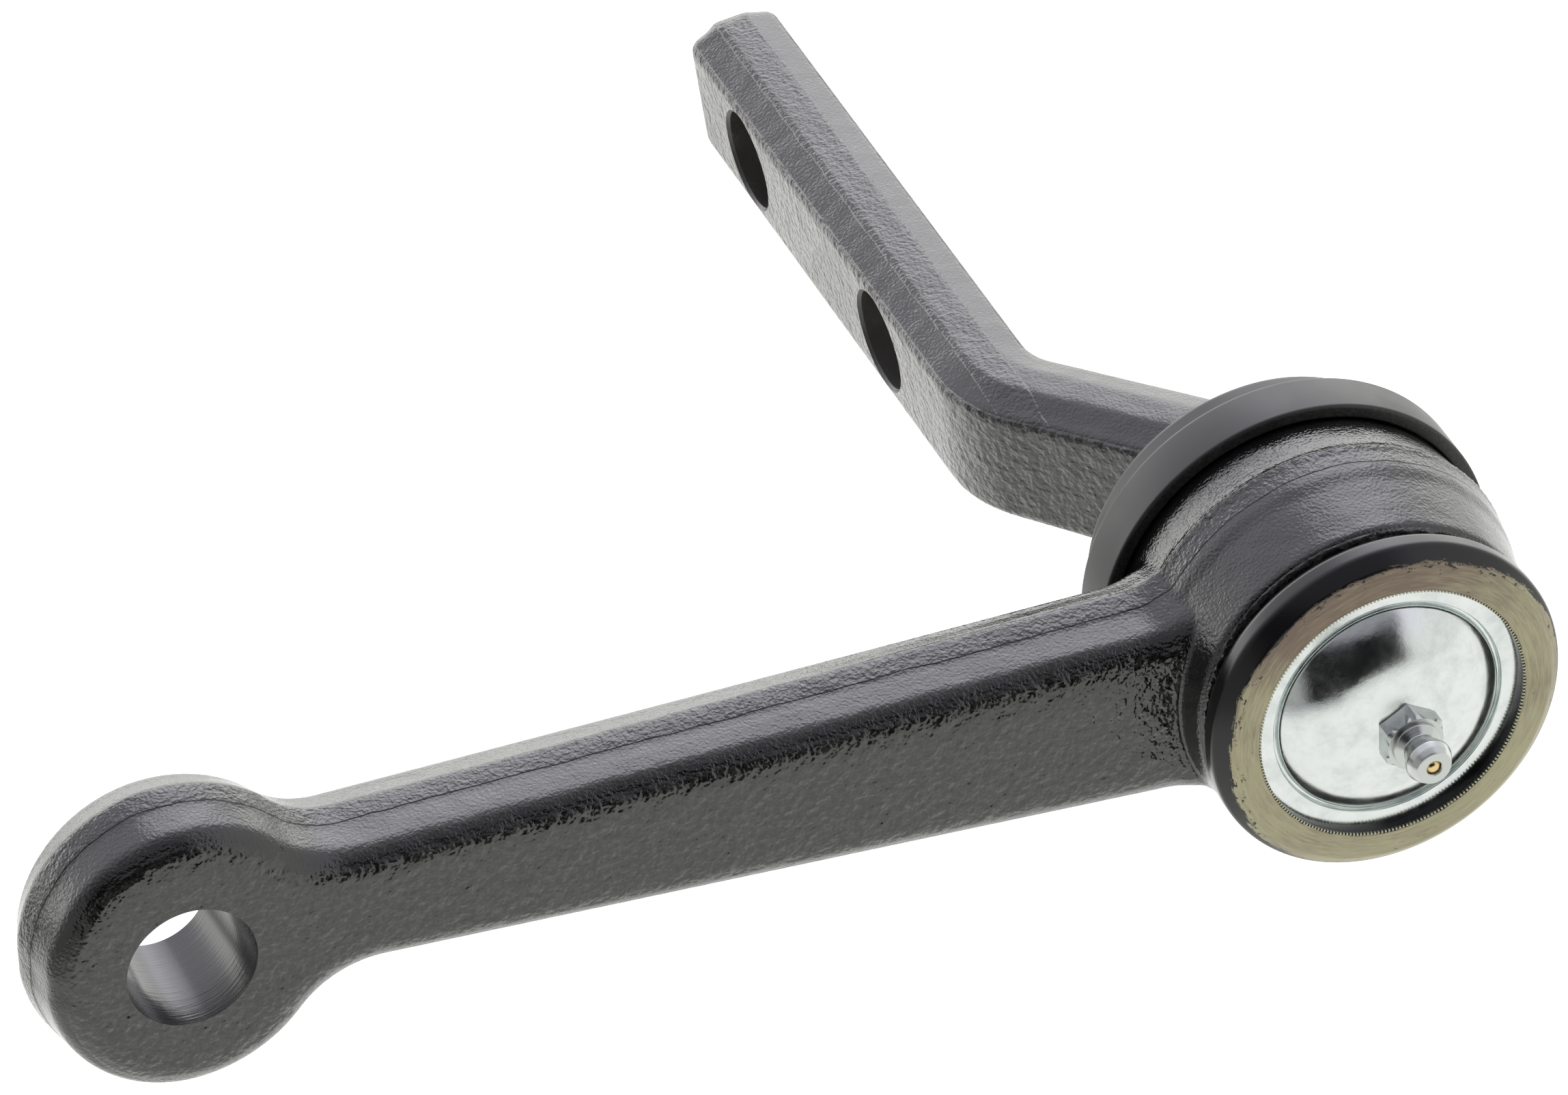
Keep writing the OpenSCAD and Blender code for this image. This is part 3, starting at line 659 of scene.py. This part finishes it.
small_end = eye_hole_r - (arm_front - arm_back + 1) / eye_taper / 2
large_end = eye_hole_r + 1 / eye_taper / 2
reamer_bm = bmesh.new()
turned(
    reamer_bm,
    [(0.0, arm_back - 1), (small_end, arm_back - 1), (large_end, arm_front + 1), (0.0, arm_front + 1)],
    128, (-arm_reach, 0.0), arm_rise,
)
reamer = finished("reamer", reamer_bm, [eye_coat])
bore_r, rear_hole_r = 20.2, 15.0
bore_bm = bmesh.new()
turned(bore_bm, [
    (0.0, housing_rear - 1), (rear_hole_r, housing_rear - 1), (rear_hole_r, bore_floor), (bore_r, bore_floor),
    (bore_r, 0.0), (0.0, 0.0),
])
bore = finished("bore", bore_bm, [bright_steel])
cut_and_smoothed(arm, 0.0005, 3, [reamer, bore])
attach(arm, "arm")
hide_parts("arm_forging")

# Rolled bead and lip: the housing's front end, machined smooth and then rolled in over the cover.
# The rolling leaves the lip bare, with the black coat flaked to a ragged edge on both sides of it,
# more of it gone low down than at the top.

cover_r, lip_in, lip_t = 21.5, 19.0, 1.7
bead_profile = rounded([
    (bore_r, -7.0, 0.0), (22.9, -7.0, 0.0), (22.9, -4.2, 0.4), (24.6, -3.8, 0.4), (25.1, -2.9, 1.2), (25.1, -0.7, 1.3),
    (23.1, 1.15, 1.2), (21.4, 1.5, 1.5), (lip_in + 0.15, lip_t, 0.3), (lip_in, 0.5, 0.25), (lip_in, 0.02, 0.0),
    (cover_r, 0.02, 0.0), (cover_r, -1.6, 0.0), (bore_r, -1.6, 0.0),
], 8)
rolled = black_coat("rolled_edge", (0.004, 0.004, 0.005), (0.006, 0.006, 0.007), 0.13, 700.0, 0.00002, 1.5)
tree = rolled.node_tree
shader = tree.nodes["Principled BSDF"]
place_now = tree.nodes.new("ShaderNodeTexCoord").outputs["Object"]
apart = add(tree, "ShaderNodeSeparateXYZ")
tree.links.new(place_now, apart.inputs[0])
across = sums(tree, "SUBTRACT", apart.outputs["X"], face_offset / 1000)
height_up = apart.outputs["Z"]
squares = sums(tree, "ADD", sums(tree, "MULTIPLY", across, across), sums(tree, "MULTIPLY", height_up, height_up))
radius = sums(tree, "SQRT", squares)
# The nearest point on a circle of the lip's size, so that the noise can run along the lip
lip_mid_r = 0.022
on_circle = add(tree, "ShaderNodeCombineXYZ")
for place, axis in ((across, "X"), (height_up, "Z")):
    tree.links.new(sums(tree, "MULTIPLY", sums(tree, "DIVIDE", place, radius), lip_mid_r), on_circle.inputs[axis])


def round_noise(scale, along_radius, detail, roughness):
    """Noise stretched along the lip; along_radius is its own scale across the lip."""
    texture = add(tree, "ShaderNodeTexNoise", noise_dimensions="4D", Scale=scale, Detail=detail, Roughness=roughness)
    tree.links.new(on_circle.outputs[0], texture.inputs["Vector"])
    tree.links.new(sums(tree, "MULTIPLY", radius, along_radius / scale), texture.inputs["W"])
    return texture.outputs["Fac"]


flecks = round_noise(420.0, 2400.0, 6.0, 0.78)
patches = round_noise(90.0, 60.0, 2.0, 0.5)
streaks = round_noise(300.0, 4200.0, 4.0, 0.65)
ragged = sums(tree, "ADD", radius, sums(tree, "MULTIPLY", sums(tree, "SUBTRACT", flecks, 0.5), 0.0026))
ragged = sums(tree, "ADD", ragged, sums(tree, "MULTIPLY", sums(tree, "SUBTRACT", patches, 0.5), 0.0022))
downhill = sums(tree, "ADD", sums(tree, "MULTIPLY", height_up, -0.9), sums(tree, "MULTIPLY", across, 0.5))
worn = fade(tree, downhill, -0.012, 0.012)
outside = fade(tree, sums(tree, "SUBTRACT", ragged, sums(tree, "MULTIPLY", worn, 0.0018)), 0.02305, 0.02309)
bore_side = sums(tree, "ADD", radius, sums(tree, "MULTIPLY", sums(tree, "SUBTRACT", flecks, 0.5), 0.0012))
inside = fade(tree, bore_side, 0.01925, 0.01918)
near_rim = fade(tree, sums(tree, "SUBTRACT", radius, sums(tree, "MULTIPLY", worn, 0.002)), 0.0205, 0.0230, 0.0, 0.10)
torn = fade(tree, sums(tree, "ADD", round_noise(700.0, 1500.0, 5.0, 0.75), near_rim), 0.655, 0.672)
inside = sums(tree, "MAXIMUM", inside, torn)
front = fade(tree, apart.outputs["Y"], -0.1361, -0.1359)
painted = sums(tree, "MAXIMUM", sums(tree, "MAXIMUM", outside, inside), front)
bare = add(tree, "ShaderNodeMix", data_type="RGBA")
bare.inputs[6].default_value = (0.40, 0.385, 0.255, 1.0)
bare.inputs[7].default_value = (0.20, 0.155, 0.125, 1.0)
# The bare metal turns browner and darker in patches and streaks, and more of it towards the top.
brown_share = sums(tree, "ADD", sums(tree, "MULTIPLY", patches, 0.5), sums(tree, "MULTIPLY", streaks, 0.7))
brown_share = sums(tree, "ADD", brown_share, fade(tree, height_up, 0.007, 0.020, 0.0, 0.26))
tree.links.new(fade(tree, brown_share, 0.45, 0.95), bare.inputs[0])
coat_colour = shader.inputs["Base Color"].links[0].from_socket
skin_colour = add(tree, "ShaderNodeMix", data_type="RGBA")
tree.links.new(painted, skin_colour.inputs[0])
tree.links.new(bare.outputs[2], skin_colour.inputs[6])
tree.links.new(coat_colour, skin_colour.inputs[7])
tree.links.new(skin_colour.outputs[2], shader.inputs["Base Color"])
tree.links.new(fade(tree, painted, 0.0, 1.0, 0.85, 0.0), shader.inputs["Metallic"])
tree.links.new(fade(tree, painted, 0.0, 1.0, 0.42, 0.24), shader.inputs["Roughness"])

bead_bm = bmesh.new()
turned(bead_bm, bead_profile, 256)
bead = finished("rolled_bead", bead_bm, [rolled])
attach(bead, "arm")
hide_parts("arm_forging")

# The rolling tool leaves the lip's inner edge finely toothed.
teeth = bpy.data.node_groups.new("rolled_teeth", "GeometryNodeTree")
for name, kind, flow in (
    ("Teeth", "NodeSocketInt", "INPUT"),
    ("Radius", "NodeSocketFloat", "INPUT"),
    ("Tooth size", "NodeSocketVector", "INPUT"),
    ("Middle", "NodeSocketVector", "INPUT"),
    ("Metal", "NodeSocketMaterial", "INPUT"),
    ("Ring", "NodeSocketGeometry", "OUTPUT"),
):
    teeth.interface.new_socket(name, in_out=flow, socket_type=kind)
given = teeth.nodes.new("NodeGroupInput")
circle = teeth.nodes.new("GeometryNodeMeshCircle")
teeth.links.new(given.outputs["Teeth"], circle.inputs["Vertices"])
teeth.links.new(given.outputs["Radius"], circle.inputs["Radius"])
tooth = teeth.nodes.new("GeometryNodeMeshCube")
teeth.links.new(given.outputs["Tooth size"], tooth.inputs["Size"])
part_turn = sums(teeth, "DIVIDE", teeth.nodes.new("GeometryNodeInputIndex").outputs[0], given.outputs["Teeth"])
facing_out = teeth.nodes.new("ShaderNodeCombineXYZ")
teeth.links.new(sums(teeth, "MULTIPLY", part_turn, 2 * math.pi), facing_out.inputs["Z"])
placing = teeth.nodes.new("GeometryNodeInstanceOnPoints")
teeth.links.new(circle.outputs[0], placing.inputs["Points"])
teeth.links.new(tooth.outputs[0], placing.inputs["Instance"])
teeth.links.new(facing_out.outputs[0], placing.inputs["Rotation"])
stand = teeth.nodes.new("GeometryNodeTransform")
stand.inputs["Rotation"].default_value = (math.pi / 2, 0.0, 0.0)
teeth.links.new(placing.outputs[0], stand.inputs["Geometry"])
teeth.links.new(given.outputs["Middle"], stand.inputs["Translation"])
real = teeth.nodes.new("GeometryNodeRealizeInstances")
teeth.links.new(stand.outputs[0], real.inputs[0])
dressed = teeth.nodes.new("GeometryNodeSetMaterial")
teeth.links.new(real.outputs[0], dressed.inputs["Geometry"])
teeth.links.new(given.outputs["Metal"], dressed.inputs["Material"])
teeth.links.new(dressed.outputs[0], teeth.nodes.new("NodeGroupOutput").inputs[0])

lip_metal = turned_steel("lip_metal", (0.46, 0.45, 0.33), 0.42, 2500.0, 0.000006)
serration = bpy.data.objects.new("lip_teeth", bpy.data.meshes.new("lip_teeth"))
scene.collection.objects.link(serration)
toothing = serration.modifiers.new("ring", "NODES")
toothing.node_group = teeth
sizes = {
    "Teeth": 230, "Radius": (lip_in + 0.06) / 1000, "Tooth size": (0.00030, 0.00026, 0.0003),
    "Middle": placed(0.0, 0.0, lip_t - 0.22), "Metal": lip_metal,
}
for item in teeth.interface.items_tree:
    if item.in_out == "INPUT":
        toothing[item.identifier] = sizes[item.name]
bpy.context.view_layer.update()
made = bpy.data.meshes.new_from_object(serration.evaluated_get(bpy.context.evaluated_depsgraph_get()))
serration.modifiers.clear()
serration.data = made
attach(serration, "arm")
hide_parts("arm_forging")

# Dust seal: a moulded rubber cup that grips the stud's shoulder. Its skirt reaches over the
# housing's rear edge, and a soft lip inside wipes the housing's rear face.

seal_r, hub_r, seal_front, seal_step = 28.3, 25.0, -30.2, -37.6
lip_r, web = 19.5, 2.2
seal_profile = rounded([
    (cone_large_r, -shoulder_depth, 0.0), (hub_r, -shoulder_depth, 0.9), (hub_r, seal_step, 0.5),
    (seal_r, seal_step, 0.7), (seal_r, seal_front, 0.5), (seal_r - 2.0, seal_front, 0.4),
    (seal_r - 2.0, seal_step + web, 0.6), (hub_r - web, seal_step + web, 0.6), (hub_r - web, web - shoulder_depth, 0.6),
    (lip_r + 0.5, web - shoulder_depth, 0.3), (lip_r + 1.0, housing_rear - 1.3, 0.2),
    (lip_r + 0.6, housing_rear - 0.3, 0.1), (lip_r - 0.2, housing_rear - 0.3, 0.1),
    (lip_r - 1.5, web + 2 - shoulder_depth, 0.3), (cone_large_r, web + 2 - shoulder_depth, 0.0),
], 5)
rubber = black_coat("seal_rubber", (0.012, 0.012, 0.0125), (0.016, 0.016, 0.017), 0.42, 2600.0, 0.00001, 1.55)
seal_bm = bmesh.new()
turned(seal_bm, seal_profile, 224)
seal = finished("dust_seal_moulded", seal_bm, [rubber], 50)
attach(seal, "bracket")
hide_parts("dust_seal")

# Cover: a pressed steel disc, bright zinc, held by the rolled lip. A flat flange, a groove, and a
# dome that falls off faster towards its rim and swells up round the fitting's thread.

dome_h, dome_r, groove_w, groove_d, cover_t = 6.3, 15.8, 1.5, 0.8, 1.6
thread_hole_r = 3.1
plain_h, fullness, swell_h, swell_w = 5.6, 2.7, 0.62, 2.0
outer_face = []
for i in range(41):
    r = thread_hole_r + (dome_r - thread_hole_r) * i / 40
    swell = swell_h * math.exp(-(((r - thread_hole_r) / swell_w) ** 2))
    outer_face.append((r, plain_h * (1 - (r / dome_r) ** fullness) + swell))
groove = rounded([
    (dome_r, 0.0, 0.0), (dome_r + 0.1, -groove_d, 0.12), (dome_r + 0.5, -groove_d, 0.12),
    (dome_r + 0.65, 0.05, 0.25), (cover_r - 0.02, 0.0, 0.0),
])[1:]
under = [(cover_r - 0.02, -cover_t), (dome_r + groove_w, -cover_t)]
under += [(dome_r + groove_w - 0.6, -1.9), (dome_r - 0.5, -1.9)]
under += [(r, z - cover_t) for r, z in reversed(outer_face) if r < dome_r - 0.6]

zinc = bpy.data.materials.new("zinc_plate")
zinc.use_nodes = True
tree = zinc.node_tree
shader = tree.nodes["Principled BSDF"]
shader.inputs["Metallic"].default_value = 1.0
place_now = tree.nodes.new("ShaderNodeTexCoord").outputs["Object"]
cloud = add(tree, "ShaderNodeTexNoise", Scale=170.0, Detail=6.0, Roughness=0.72)
speck = add(tree, "ShaderNodeTexNoise", Scale=900.0, Detail=4.0, Roughness=0.7)
dents = add(tree, "ShaderNodeTexNoise", Scale=190.0, Detail=1.0, Roughness=0.5)
for texture in (cloud, speck, dents):
    tree.links.new(place_now, texture.inputs["Vector"])
plate = add(tree, "ShaderNodeMix", data_type="RGBA")
plate.inputs[6].default_value = (0.58, 0.62, 0.62, 1.0)
plate.inputs[7].default_value = (0.76, 0.80, 0.79, 1.0)
tree.links.new(fade(tree, cloud.outputs["Fac"], 0.25, 0.60), plate.inputs[0])
tree.links.new(plate.outputs[2], shader.inputs["Base Color"])
tree.links.new(fade(tree, cloud.outputs["Fac"], 0.3, 0.7, 0.12, 0.22), shader.inputs["Roughness"])
bump = add(tree, "ShaderNodeBump", Strength=1.0, Distance=0.00006)
uneven = sums(tree, "MULTIPLY", speck.outputs["Fac"], 0.22)
uneven = sums(tree, "ADD", uneven, sums(tree, "MULTIPLY", dents.outputs["Fac"], 1.1))
tree.links.new(uneven, bump.inputs["Height"])
tree.links.new(bump.outputs["Normal"], shader.inputs["Normal"])

cover_bm = bmesh.new()
turned(cover_bm, outer_face + groove + under, 224)
cover = finished("cover_pressed", cover_bm, [zinc], 60)
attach(cover, "arm")
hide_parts("cover_plate")

# Grease fitting: turned from hexagon bar and zinc plated. Its thread goes through the cover;
# above it are the hexagon with chamfered corners, the neck, and the ball head with a drilled tip.

fitting_seat, hex_top, fitting_tip = 6.15, 9.05, 15.0
head_mid = fitting_tip - 2.0
head_r, tip_r, neck_r, passage_r, orifice_r = 3.25, 2.3, 2.35, 1.35, 1.05
ball_rest = fitting_tip - 0.5 - math.sqrt(1.2 ** 2 - orifice_r ** 2) - 0.05
spring_foot = dome_h - 0.4
tail = dome_h - cover_t - 2.2
fitting_zinc = turned_steel("fitting_zinc", (0.60, 0.63, 0.61), 0.25, 5200.0, 0.000009)

hex_bm = bmesh.new()
hex_flat, hex_steps = 7.94 / 2, 96
hex_corner = hex_flat / math.cos(math.radians(30))
hex_rings = []
for z, shrink in ((fitting_seat, 1.0), (hex_top - 0.45, 1.0), (hex_top, 0.0)):
    hex_rings.append([])
    for k in range(hex_steps):
        a = 2 * math.pi * k / hex_steps
        side_at = hex_flat / math.cos((a + math.pi / 6) % (math.pi / 3) - math.pi / 6)
        r = min(side_at, hex_flat + (hex_corner - hex_flat) * shrink)
        hex_rings[-1].append((r * math.cos(a), r * math.sin(a), z))
loops = [[hex_bm.verts.new(placed(*p, arm_rise)) for p in ring] for ring in hex_rings]
for near, far in zip(loops, loops[1:]):
    for k in range(hex_steps):
        hex_bm.faces.new((near[k], near[k - 1], far[k - 1], far[k]))
hex_bm.faces.new(loops[0])
hex_bm.faces.new(loops[-1])
turned(
    hex_bm,
    rounded([
        (thread_hole_r - 0.4, tail, 0.0), (thread_hole_r - 0.02, tail + 0.4, 0.0),
        (thread_hole_r - 0.02, hex_top, 0.0),
        (3.35, hex_top + 0.02, 0.0), (3.35, hex_top + 0.5, 0.2),
        (neck_r, hex_top + 1.3, 0.3), (neck_r, hex_top + 1.9, 0.4),
        (head_r - 0.1, head_mid - 0.55, 0.5), (head_r, head_mid + 0.2, 0.7), (head_r - 0.35, head_mid + 1.1, 0.8),
        (tip_r + 0.15, fitting_tip - 0.1, 0.15), (tip_r - 0.1, fitting_tip, 0.1), (orifice_r + 0.12, fitting_tip, 0.1),
        (orifice_r, fitting_tip - 0.15, 0.0), (orifice_r, fitting_tip - 0.5, 0.0), (passage_r, ball_rest + 0.2, 0.0),
        (passage_r, spring_foot, 0.0), (passage_r - 0.35, spring_foot, 0.0), (passage_r - 0.35, tail, 0.0),
    ], 5),
    128, rise=arm_rise,
)
fitting = finished("grease_fitting_turned", hex_bm, [fitting_zinc], 28)
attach(fitting, "arm")
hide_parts("grease_fitting")

# Check spring: sprung steel wire wound in five turns between the passage's foot and the ball. It is wound at its
# resting length; a grease gun pushing the ball in would shorten it.

wire_r, ball_r, turns, ball_travel = 0.15, 1.2, 5, 0.8
coil_r = passage_r - wire_r - 0.1
coil_low, coil_high = spring_foot + wire_r, ball_rest - math.sqrt((ball_r + wire_r) ** 2 - coil_r ** 2)
sprung = turned_steel("spring_steel", (0.42, 0.44, 0.48), 0.35, 2500.0, 0.000005)
turn_steps, wire_steps = 24, 12
wound = []
for i in range(turns * turn_steps + 1):
    a, z = 2 * math.pi * i / turn_steps, coil_low + (coil_high - coil_low) * i / turns / turn_steps
    wire_angles = [2 * math.pi * k / wire_steps for k in range(wire_steps)]
    wire_section = [(coil_r + wire_r * math.cos(w), z + wire_r * math.sin(w)) for w in wire_angles]
    wound.append([(r * math.cos(a), r * math.sin(a), level) for r, level in wire_section])
coil_bm = bmesh.new()
lofted(coil_bm, wound, arm_rise)
coil = finished("check_spring_wound", coil_bm, [sprung], 60)
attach(coil, "arm")
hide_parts("check_spring")
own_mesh(coil)

# Inside the housing: pressed and turned pieces that it hides keep their CAD shapes. Sintered
# bearing seats, ground cone and washer, sprung steel, the nut, and the fitting's brass ball.

bronze = turned_steel("bearing_bronze", (0.62, 0.45, 0.24), 0.5, 2500.0, 0.00001)
nut_metal = turned_steel("nut_steel", (0.45, 0.46, 0.47), 0.4, 1500.0, 0.000006)
brass = turned_steel("ball_brass", (0.80, 0.62, 0.32), 0.2, 1500.0, 0.000002)
for node_name, metal in (
    ("lower_bearing", bronze), ("upper_bearing", bronze), ("bearing_cone", bright_steel),
    ("preload_spring", sprung), ("flat_washer", bright_steel), ("stud_nut", nut_metal),
    ("check_ball", brass),
):
    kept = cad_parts[node_name]
    kept.data.materials.clear()
    kept.data.materials.append(metal)
